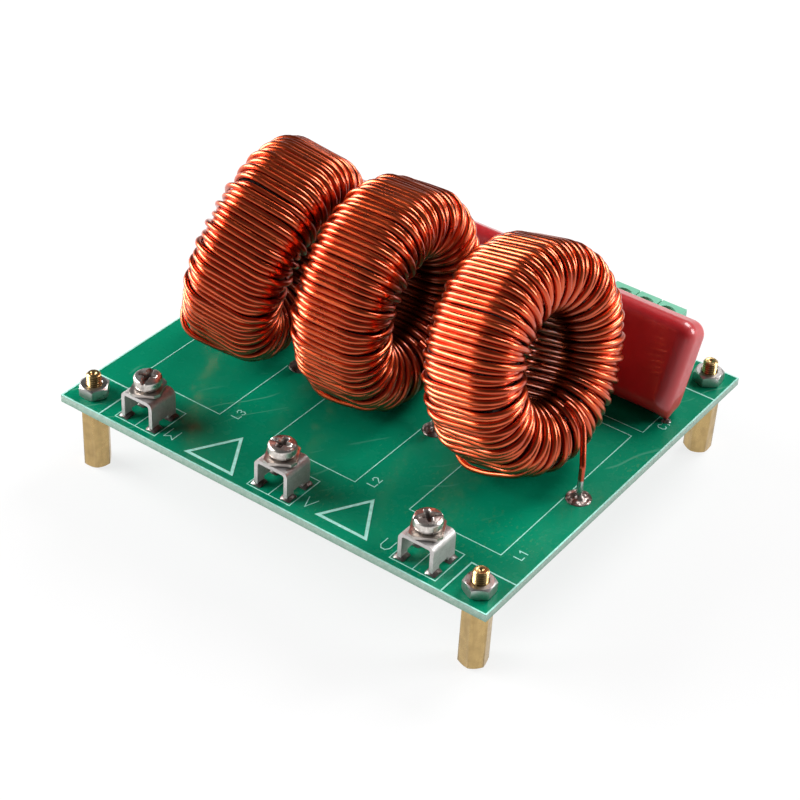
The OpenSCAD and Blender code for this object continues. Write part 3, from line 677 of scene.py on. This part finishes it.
def standoff_mesh(flats, height, stud_r, stud_h, turn):
    """A hexagon standoff with a threaded stud above z = 0 and a tapped foot, in millimetres."""
    corner = flats / 2 / math.cos(math.pi / 6)
    bevel, pitch, groove = flats / 9, 0.5, 0.25
    tap_r, tap_deep = 1.25, 7
    profile = [(0, stud_h - 0.45), (0.25, stud_h - 0.42), (0.6, stud_h - 0.06), (0.8, stud_h)]
    profile += [(stud_r - 0.35, stud_h), (stud_r - 0.25, stud_h - 0.12)]
    profile += [(stud_r, z) for z in np.arange(stud_h - 0.2, 0, -pitch / 6)]
    profile.append((stud_r - groove, 0))
    slope = [(corner - bevel * t, -0.6 * bevel * (1 - t)) for t in np.linspace(1, 0, 7)]
    profile += slope + [(r, -height - z) for r, z in reversed(slope)]
    profile += [(tap_r, -height), (tap_r, tap_deep - height), (0, tap_deep - height)]

    def shape(x, y, z):
        r, a = math.hypot(x, y), math.atan2(y, x)
        new, deep = r, 0.0
        if z > 0 and r > stud_r - 0.01:
            deep = abs(2 * ((z / pitch - a / (2 * math.pi)) % 1) - 1)
            new = stud_r - groove * deep
        elif z <= 0 and r > stud_r:
            new = min(r, flats / 2 / math.cos(a % (math.pi / 3) - math.pi / 6))
        scale = new / r if r else 1
        # The last value is how deep in the thread's valley a point lies, which the finish paints as shade.
        return x * scale, y * scale, z, 0.7 * steps(0.25, 0.9, deep)

    mesh = turned("standoff", profile, 48, shape)
    mesh.transform(Matrix.Scale(MM, 4) @ Matrix.Rotation(turn, 4, "Z"))
    return mesh


def tube_mesh(name, points, radius):
    """A round bar on a smooth curve along points, with closed ends."""
    curve = bpy.data.curves.new(name, "CURVE")
    curve.dimensions = "3D"
    spline = curve.splines.new("NURBS")
    spline.points.add(len(points) - 1)
    for p, q in zip(spline.points, points):
        p.co = (*q, 1)
    spline.order_u = 3
    spline.use_endpoint_u = True
    spline.resolution_u = 8
    curve.bevel_depth = radius
    curve.bevel_resolution = 6
    curve.use_fill_caps = True
    holder = bpy.data.objects.new(name, curve)
    bpy.context.scene.collection.objects.link(holder)
    mesh = bpy.data.meshes.new_from_object(holder.evaluated_get(bpy.context.evaluated_depsgraph_get()))
    bpy.data.objects.remove(holder)
    mesh.shade_smooth()
    return mesh


# Each choke's two loose turns and how far they hang out in mm, then where a gap opens and its degrees
LOOSE_TURNS = {
    "l3": (96.9, 1.0, 101.9, 1.4, 63.45, 1.6),
    "l2": (100.88, 1.7, 105.88, 1.6, 40.5, 0.0),
    "l1": (100.88, 2.0, 105.88, 1.7, 40.5, 0.0),
}
# Where a wire end goes in among the turns: off the choke's face and up from its axis, in mm
LEAD_LEAVES = (0.9, -13.6)
LEAD_GOES_IN = ((0.2, -11.6), (-0.9, -9.9), (-2.6, -9.1))


def lay_leads(phase, finish):
    """The two ends of a choke's wire, from among the turns on its faces down through the board."""
    s = bpy.context.scene.filter_chokes
    middle, along, across, up = choke_axes(phase)
    corners = [v.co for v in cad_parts["choke_wires_" + phase].data.vertices]
    low = min(v.z for v in corners)
    parts = []
    for side in (-1, 1):
        feet = [v for v in corners if v.z < low + 0.1 * MM and (v.x - middle.x) * side > 0]
        foot = sum(feet, Vector()) / len(feet)

        def on_face(off, height):
            return middle + along * side * (s.half + off * MM) + across * MM + up * height * MM

        # One wire end is bent low and wide, past the next choke
        tucked = phase == "l2" and side < 0
        leave = on_face(2.9 if tucked else LEAD_LEAVES[0], LEAD_LEAVES[1])
        knee = Vector((foot.x, foot.y, TOP + (0.17 if tucked else 0.62) * (leave.z - TOP)))
        points = [foot, foot.lerp(knee, 0.5), foot.lerp(knee, 0.9), knee, leave]
        points += [on_face(off, height) for off, height in LEAD_GOES_IN]
        parts.append(tube_mesh("lead", points, s.wire / 2))
    mesh = join_meshes("wire_ends_" + phase, parts, finish)
    new_piece("wire_ends_" + phase, mesh, ["choke_wires_" + phase])


def wind_chokes():
    s = bpy.context.scene.filter_chokes
    copper = enamelled_copper(bpy.context.scene.filter_finishes.copper)
    bright = enamelled_copper(bpy.context.scene.filter_finishes.copper, TOP + s.tinned)
    tree = winding_tree()
    for seed, phase in enumerate(PHASES):
        first, first_bulge, second, second_bulge, gap_turn, gap = LOOSE_TURNS[phase]
        mesh = grow(
            tree,
            {
                "Turns": s.turns, "Points per turn": POINTS_PER_TURN, "Wire diameter": s.wire,
                "Outer radius": s.outer, "Hole radius": s.hole, "Half width": s.half,
                "Edge bend": s.edge, "Lip bend": s.lip, "Layer step": s.step,
                "Wander": s.wander, "Ride": s.ride, "Start": WINDING_START, "Span": WINDING_SPAN,
                "Loose turn 1": first, "Loose bulge 1": first_bulge * MM,
                "Loose turn 2": second, "Loose bulge 2": second_bulge * MM,
                "Gap turn": gap_turn, "Gap": math.radians(gap),
                "Spread turn": s.spread_turn, "Spread": s.spread, "Seed": seed + 1, "Finish": copper,
            },
        )
        mesh.transform(choke_matrix(phase))
        new_piece("wound_wire_" + phase, mesh, ["winding_" + phase])
        lay_leads(phase, bright)
    dress(["core_" + p for p in PHASES], powder_core())


def dress_board():
    finishes = bpy.context.scene.filter_finishes
    dress(["circuit_board"], solder_mask(finishes.mask))
    dress(["board_print"], printed_ink(finishes.ink))


# The terminals by their printed letter, with the turn of the screw and of the washer's slit in degrees
TERMINALS = {"w": (110, -50), "v": (8, -40), "u": (50, -35)}
# The screw's head height and shank radius, the washer's radii, its slit and its rise across it, in mm
SCREW_HEAD, SCREW_SHANK = 2.1, 1.45
WASHER_INNER, WASHER_OUTER, WASHER_SLIT, WASHER_RISE = 1.55, 2.5, 0.35, 0.06


def dress_terminals():
    tin = bright_metal(
        "Tinned sheet", (0.60, 0.57, 0.56), (0.34, 0.32, 0.31), 0.48, (1, 1, 1.5), 2000, 0.3, 0.4, 0.5, 0.6
    )
    nickel = bright_metal(
        "Nickel screw", (0.84, 0.79, 0.74), (0.16, 0.12, 0.10), 0.30, (1, 1, 1), 1500, 1.0, 0.4, 0.6
    )
    plate = bright_metal("Clamp plate", (0.62, 0.57, 0.53), (0.25, 0.21, 0.19), 0.34, (1, 1, 1), 1100, 0.3)
    for way, (screw_turn, slit_turn) in TERMINALS.items():
        dress(["bracket_" + way], tin)
        dress(["clamp_plate_" + way], plate)
        low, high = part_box("terminal_screw_" + way)
        head = high.z - SCREW_HEAD * MM
        place = Matrix.Translation(((low.x + high.x) / 2, (low.y + high.y) / 2, head))
        head_r, shank_l = (high.x - low.x) / 2 / MM, (head - low.z) / MM
        mesh = screw_mesh(head_r, SCREW_HEAD, SCREW_SHANK, shank_l, math.radians(screw_turn))
        mesh.transform(place)
        mesh.materials.append(nickel)
        new_piece("pan_screw_" + way, mesh, ["terminal_screw_" + way])
        low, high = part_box("spring_washer_" + way)
        thick, slit_at = (high.z - low.z) / MM, math.radians(slit_turn)
        mesh = washer_mesh(WASHER_INNER, WASHER_OUTER, thick, slit_at, WASHER_SLIT, WASHER_RISE)
        mesh.transform(Matrix.Translation((place.translation.x, place.translation.y, low.z)))
        mesh.materials.append(nickel)
        new_piece("split_washer_" + way, mesh, ["spring_washer_" + way])


# How each standoff is turned, in degrees
STANDOFF_TURNS = {"front_left": 8, "front_right": 44, "back_left": 20, "back_right": 30}
# A standoff's width across flats and its stud's radius, in mm
STANDOFF_FLATS, STUD_RADIUS = 5, 1.5


def dress_standoffs():
    yellow = bpy.context.scene.filter_finishes.brass
    brass = bright_metal("Turned brass", yellow, (0.30, 0.20, 0.09), 0.28, (1, 1, 0.15), 1200, 0.15, 0.5)
    steel = bright_metal("Nut steel", (0.60, 0.57, 0.55), (0.24, 0.21, 0.20), 0.30, (1, 1, 1), 900, 0.2, 0.5)
    for corner, turn in STANDOFF_TURNS.items():
        low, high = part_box("standoff_" + corner)
        stud_h = (high.z - BOARD_LOW.z) / MM
        mesh = standoff_mesh(STANDOFF_FLATS, BOARD_LOW.z / MM, STUD_RADIUS, stud_h, math.radians(turn))
        middle = Vector(((low.x + high.x) / 2, (low.y + high.y) / 2, BOARD_LOW.z))
        mesh.transform(Matrix.Translation(middle))
        mesh.materials.append(brass)
        new_piece("hex_standoff_" + corner, mesh, ["standoff_" + corner])
        dress(["nut_" + corner], steel)


# How far each capacitor leans back, in degrees
CAPACITOR_LEANS = {"c3": 28, "c2": 32, "c1": 25.5}
# A capacitor's thickness, height and soft edge and how far its wires stand from its middle, in mm
DIPPED_THICK, DIPPED_HIGH, DIPPED_EDGE, DIPPED_WIRE = 9.1, 19.2, 3.0, 13.75
# How far above the board its coat ends on the wires, in mm
COAT_END = 0.6


def dipped_mesh(low, high, lean):
    """A capacitor in its box: a leaning block with soft edges, its coat drawn down round both wires."""
    edge = DIPPED_EDGE
    half = Vector(((high.x - low.x) / 2 / MM, DIPPED_THICK / 2, DIPPED_HIGH / 2))
    inner = half - Vector((edge, edge, edge))
    turn = Matrix.Rotation(-math.radians(lean), 3, "X")
    rise = inner.z * turn[2][2] + inner.y * abs(turn[2][1]) + edge
    middle = Vector(((low.x + high.x) / 2, (low.y + high.y) / 2, high.z - rise * MM))
    ground = (TOP - middle.z) / MM + COAT_END
    foot = turn @ Vector((0, 0, -half.z))
    grid = bmesh.new()
    bmesh.ops.create_cube(grid, size=2)
    bmesh.ops.subdivide_edges(grid, edges=grid.edges[:], cuts=39, use_grid_fill=True)
    for vert in grid.verts:
        spread = Vector([math.sin(c * math.pi / 2) * h for c, h in zip(vert.co, half)])
        core = Vector([max(-i, min(i, c)) for c, i in zip(spread, inner)])
        point = core + (spread - core).normalized() * edge
        low_down = 1 - steps(0.8, 4.0, point.z + half.z)
        point = turn @ point
        for side in (-DIPPED_WIRE, DIPPED_WIRE):
            off = Vector((side - point.x, foot.y - point.y, 0))
            pull = low_down * (1 - steps(0.4, 3.2, off.length))
            point += Vector((0.4 * off.x, 0.4 * off.y, ground - point.z)) * pull
        vert.co = point
    mesh = bpy.data.meshes.new("dipped")
    grid.to_mesh(mesh)
    grid.free()
    mesh.shade_smooth()
    mesh.transform(Matrix.Translation(middle) @ Matrix.Scale(MM, 4))
    return mesh


def dress_capacitors():
    epoxy = dipped_epoxy(bpy.context.scene.filter_finishes.epoxy)
    for name, lean in CAPACITOR_LEANS.items():
        mesh = dipped_mesh(*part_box("capacitor_" + name), lean)
        mesh.materials.append(epoxy)
        new_piece("dipped_" + name, mesh, ["capacitor_" + name])
    wire = bright_metal("Tinned wire", (0.78, 0.77, 0.74), (0.45, 0.43, 0.40), 0.25)
    dress(["capacitor_wires"], wire)


def dress_block():
    dress(["output_block"], moulded_plastic("Mint housing", bpy.context.scene.filter_finishes.housing))
    clamp = bright_metal("Plated clamp", (0.75, 0.74, 0.7), (0.4, 0.38, 0.35), 0.28)
    dress(["block_screws", "block_cages", "block_pins"], clamp)


def pad_mesh(place, radius, wire, high, seed):
    """A choke's solder pad at a place, its sizes in mm: a lumpy cone round its wire in a low burnt rim."""
    rim = 0.22
    profile = [(0, high), (wire, high)]
    slope = np.linspace(0.06, 0.94, 12)
    profile += [(wire + t * (radius - wire), rim + (high - rim) * (1 - t) ** 5) for t in slope]
    profile += [(radius - 0.03, 0.12), (radius, 0.0), (0, 0)]

    def shape(x, y, z):
        lump = noise.fractal(Vector((x * 1.6, y * 1.6, seed * 5.0)), 0.8, 2.2, 3)
        return x, y, (max(0.03, z + 0.13 * lump) if 0.1 < z < high - 0.01 else z), 0.0

    mesh = turned("pad", profile, 48, shape)
    mesh.transform(Matrix.Translation(place) @ Matrix.Scale(MM, 4))
    return mesh


def dress_solder():
    grey = old_solder("Old solder", (0.24, 0.22, 0.21), (0.06, 0.042, 0.035))
    burnt = old_solder("Burnt solder", (0.30, 0.25, 0.23), (0.045, 0.025, 0.018))
    dress(["capacitor_joints", "bracket_joints", "underside_joints"], grey)
    corners = np.array([v.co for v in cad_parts["choke_joints"].data.vertices])
    order = np.sort(corners[:, 0])
    groups = np.split(order, np.flatnonzero(np.diff(order) > 2 * MM) + 1)
    middle = (corners[:, 1].min() + corners[:, 1].max()) / 2
    pads = []
    for k, xs in enumerate(groups):
        place = Vector(((xs[0] + xs[-1]) / 2, middle, TOP))
        pads.append(pad_mesh(place, (xs[-1] - xs[0]) / 2 / MM, 0.6, 1.0, k))
    new_piece("choke_pads", join_meshes("choke_pads", pads, burnt), ["choke_joints"])


# Stage
def lamp(name, place, aim, size, power):
    data = bpy.data.lights.new(name, "AREA")
    data.shape = "RECTANGLE"
    data.size, data.size_y = size
    data.energy = power
    holder = bpy.data.objects.new(name, data)
    bpy.context.scene.collection.objects.link(holder)
    holder.location = place
    holder.rotation_euler = (Vector(aim) - Vector(place)).to_track_quat("-Z", "Y").to_euler()
    holder.visible_camera = False


def set_camera():
    """The photograph's own viewpoint, solved from the board's corners."""
    azimuth, elevation, roll = (math.radians(v) for v in (34.23, 36.44, 3.28))
    target = Vector((1.75, -4.44, 16.6)) * MM
    distance = 402.88
    level = math.cos(elevation)
    back = Vector((math.sin(azimuth) * level, -math.cos(azimuth) * level, math.sin(elevation)))
    right = (-back).cross(Vector((0, 0, 1))).normalized()
    up = right.cross(-back)
    cos, sin = math.cos(roll), math.sin(roll)
    right, up = cos * right + sin * up, cos * up - sin * right
    data = bpy.data.cameras.new("camera")
    data.sensor_width = 36
    data.lens = 92.59
    data.clip_start = 0.01
    holder = bpy.data.objects.new("camera", data)
    turn = Matrix((right, up, back)).transposed().to_4x4()
    holder.matrix_world = Matrix.Translation(target + back * distance * MM) @ turn
    bpy.context.scene.collection.objects.link(holder)
    bpy.context.scene.camera = holder


def seen_rays(net):
    """1 for what the camera sees straight, in a mirror or through glass."""
    path = net.tree.nodes.new("ShaderNodeLightPath").outputs
    indirect = net.math("MAXIMUM", path["Is Glossy Ray"], path["Is Transmission Ray"])
    return net.math("MAXIMUM", path["Is Camera Ray"], indirect)


def build_stage():
    s = bpy.context.scene.filter_stage
    bpy.context.scene.view_settings.view_transform = "Standard"
    set_camera()
    mesh = bpy.data.meshes.new("floor")
    mesh.from_pydata([(-3, -3, 0), (3, -3, 0), (3, 3, 0), (-3, 3, 0)], [], [(0, 1, 2, 3)])
    f = Finish("Pale floor", Roughness=0.9, Specular_IOR_Level=0.1)
    f.set("Base Color", (*s.floor, 1))
    glow = f.add("ShaderNodeEmission", {"Color": (1, 1, 1, 1), "Strength": 1.0})
    blend = f.math("MULTIPLY", seen_rays(f), 0.8)
    both = f.add("ShaderNodeMixShader", {0: blend, 1: f.shader.outputs[0], 2: glow})
    f.tree.links.new(both, f.tree.nodes["Material Output"].inputs["Surface"])
    floor = bpy.data.objects.new("floor", mesh)
    floor.data.materials.append(f.material)
    bpy.context.scene.collection.objects.link(floor)

    world = bpy.data.worlds.new("Studio")
    bpy.context.scene.world = world
    world.use_nodes = True
    w = Net(world.node_tree)
    way = w.tree.nodes.new("ShaderNodeSeparateXYZ")
    w.tree.links.new(w.add("ShaderNodeTexCoord"), way.inputs[0])
    level = w.span(way.outputs[2], 0.12, 0.3, 0.35, s.sky, smooth=True)
    w.tree.links.new(level, w.tree.nodes["Background"].inputs["Strength"])
    w.tree.nodes["Background"].inputs["Color"].default_value = (1, 1, 1, 1)

    middle = (0, 0, 0.02)
    lamp("key lamp", (-0.49, -0.23, 0.22), middle, (0.50, 0.30), s.key)
    lamp("top lamp", (0.07, 0.42, 0.46), middle, (0.30, 0.24), s.top)
    lamp("side lamp", (0.44, 0.36, 0.24), middle, (0.24, 0.24), s.side)
    lamp("fill lamp", (0.50, -0.28, 0.05), middle, (0.25, 0.08), s.fill)


# The add-on's operators and panel
class FILTER_OT_board(bpy.types.Operator):
    """Finish the board and its print"""

    bl_idname = "filter_board.board"
    bl_label = "Board"

    def execute(self, context):
        dress_board()
        return {"FINISHED"}


class FILTER_OT_chokes(bpy.types.Operator):
    """Wind the three chokes and finish their cores and wire ends"""

    bl_idname = "filter_board.chokes"
    bl_label = "Chokes"

    def execute(self, context):
        wind_chokes()
        return {"FINISHED"}


class FILTER_OT_terminals(bpy.types.Operator):
    """Finish the three screw terminals"""

    bl_idname = "filter_board.terminals"
    bl_label = "Screw terminals"

    def execute(self, context):
        dress_terminals()
        return {"FINISHED"}


class FILTER_OT_standoffs(bpy.types.Operator):
    """Finish the standoffs and their nuts"""

    bl_idname = "filter_board.standoffs"
    bl_label = "Standoffs"

    def execute(self, context):
        dress_standoffs()
        return {"FINISHED"}


class FILTER_OT_capacitors(bpy.types.Operator):
    """Finish the capacitors and their wires"""

    bl_idname = "filter_board.capacitors"
    bl_label = "Capacitors"

    def execute(self, context):
        dress_capacitors()
        return {"FINISHED"}


class FILTER_OT_block(bpy.types.Operator):
    """Finish the output block"""

    bl_idname = "filter_board.block"
    bl_label = "Output block"

    def execute(self, context):
        dress_block()
        return {"FINISHED"}


class FILTER_OT_solder(bpy.types.Operator):
    """Finish the solder joints"""

    bl_idname = "filter_board.solder"
    bl_label = "Solder"

    def execute(self, context):
        dress_solder()
        return {"FINISHED"}


class FILTER_OT_stage(bpy.types.Operator):
    """Set up the floor, the lamps and the camera"""

    bl_idname = "filter_board.stage"
    bl_label = "Stage"

    def execute(self, context):
        build_stage()
        return {"FINISHED"}


OPERATORS = (
    FILTER_OT_board,
    FILTER_OT_chokes,
    FILTER_OT_terminals,
    FILTER_OT_standoffs,
    FILTER_OT_capacitors,
    FILTER_OT_block,
    FILTER_OT_solder,
    FILTER_OT_stage,
)
SETTINGS = {"filter_chokes": ChokeSettings, "filter_finishes": FinishSettings, "filter_stage": StageSettings}


class FILTER_PT_panel(bpy.types.Panel):
    """Lists the pieces of the filter board and their settings"""

    bl_label = "Filter Board"
    bl_space_type = "VIEW_3D"
    bl_region_type = "UI"
    bl_category = "Filter Board"

    def draw(self, context):
        for operator in OPERATORS:
            self.layout.operator(operator.bl_idname)
        for name in SETTINGS:
            group = getattr(context.scene, name)
            box = self.layout.box()
            for key in group.bl_rna.properties.keys():
                if key not in ("rna_type", "name"):
                    box.prop(group, key)


def register():
    for cls in (*SETTINGS.values(), *OPERATORS, FILTER_PT_panel):
        bpy.utils.register_class(cls)
    for name, group in SETTINGS.items():
        setattr(bpy.types.Scene, name, bpy.props.PointerProperty(type=group))


def unregister():
    for name in SETTINGS:
        delattr(bpy.types.Scene, name)
    for cls in (FILTER_PT_panel, *reversed(OPERATORS), *reversed(list(SETTINGS.values()))):
        bpy.utils.unregister_class(cls)


def main():
    register()
    for operator in OPERATORS:
        getattr(bpy.ops.filter_board, operator.bl_idname.split(".")[1])()


if __name__ == "__main__":
    main()
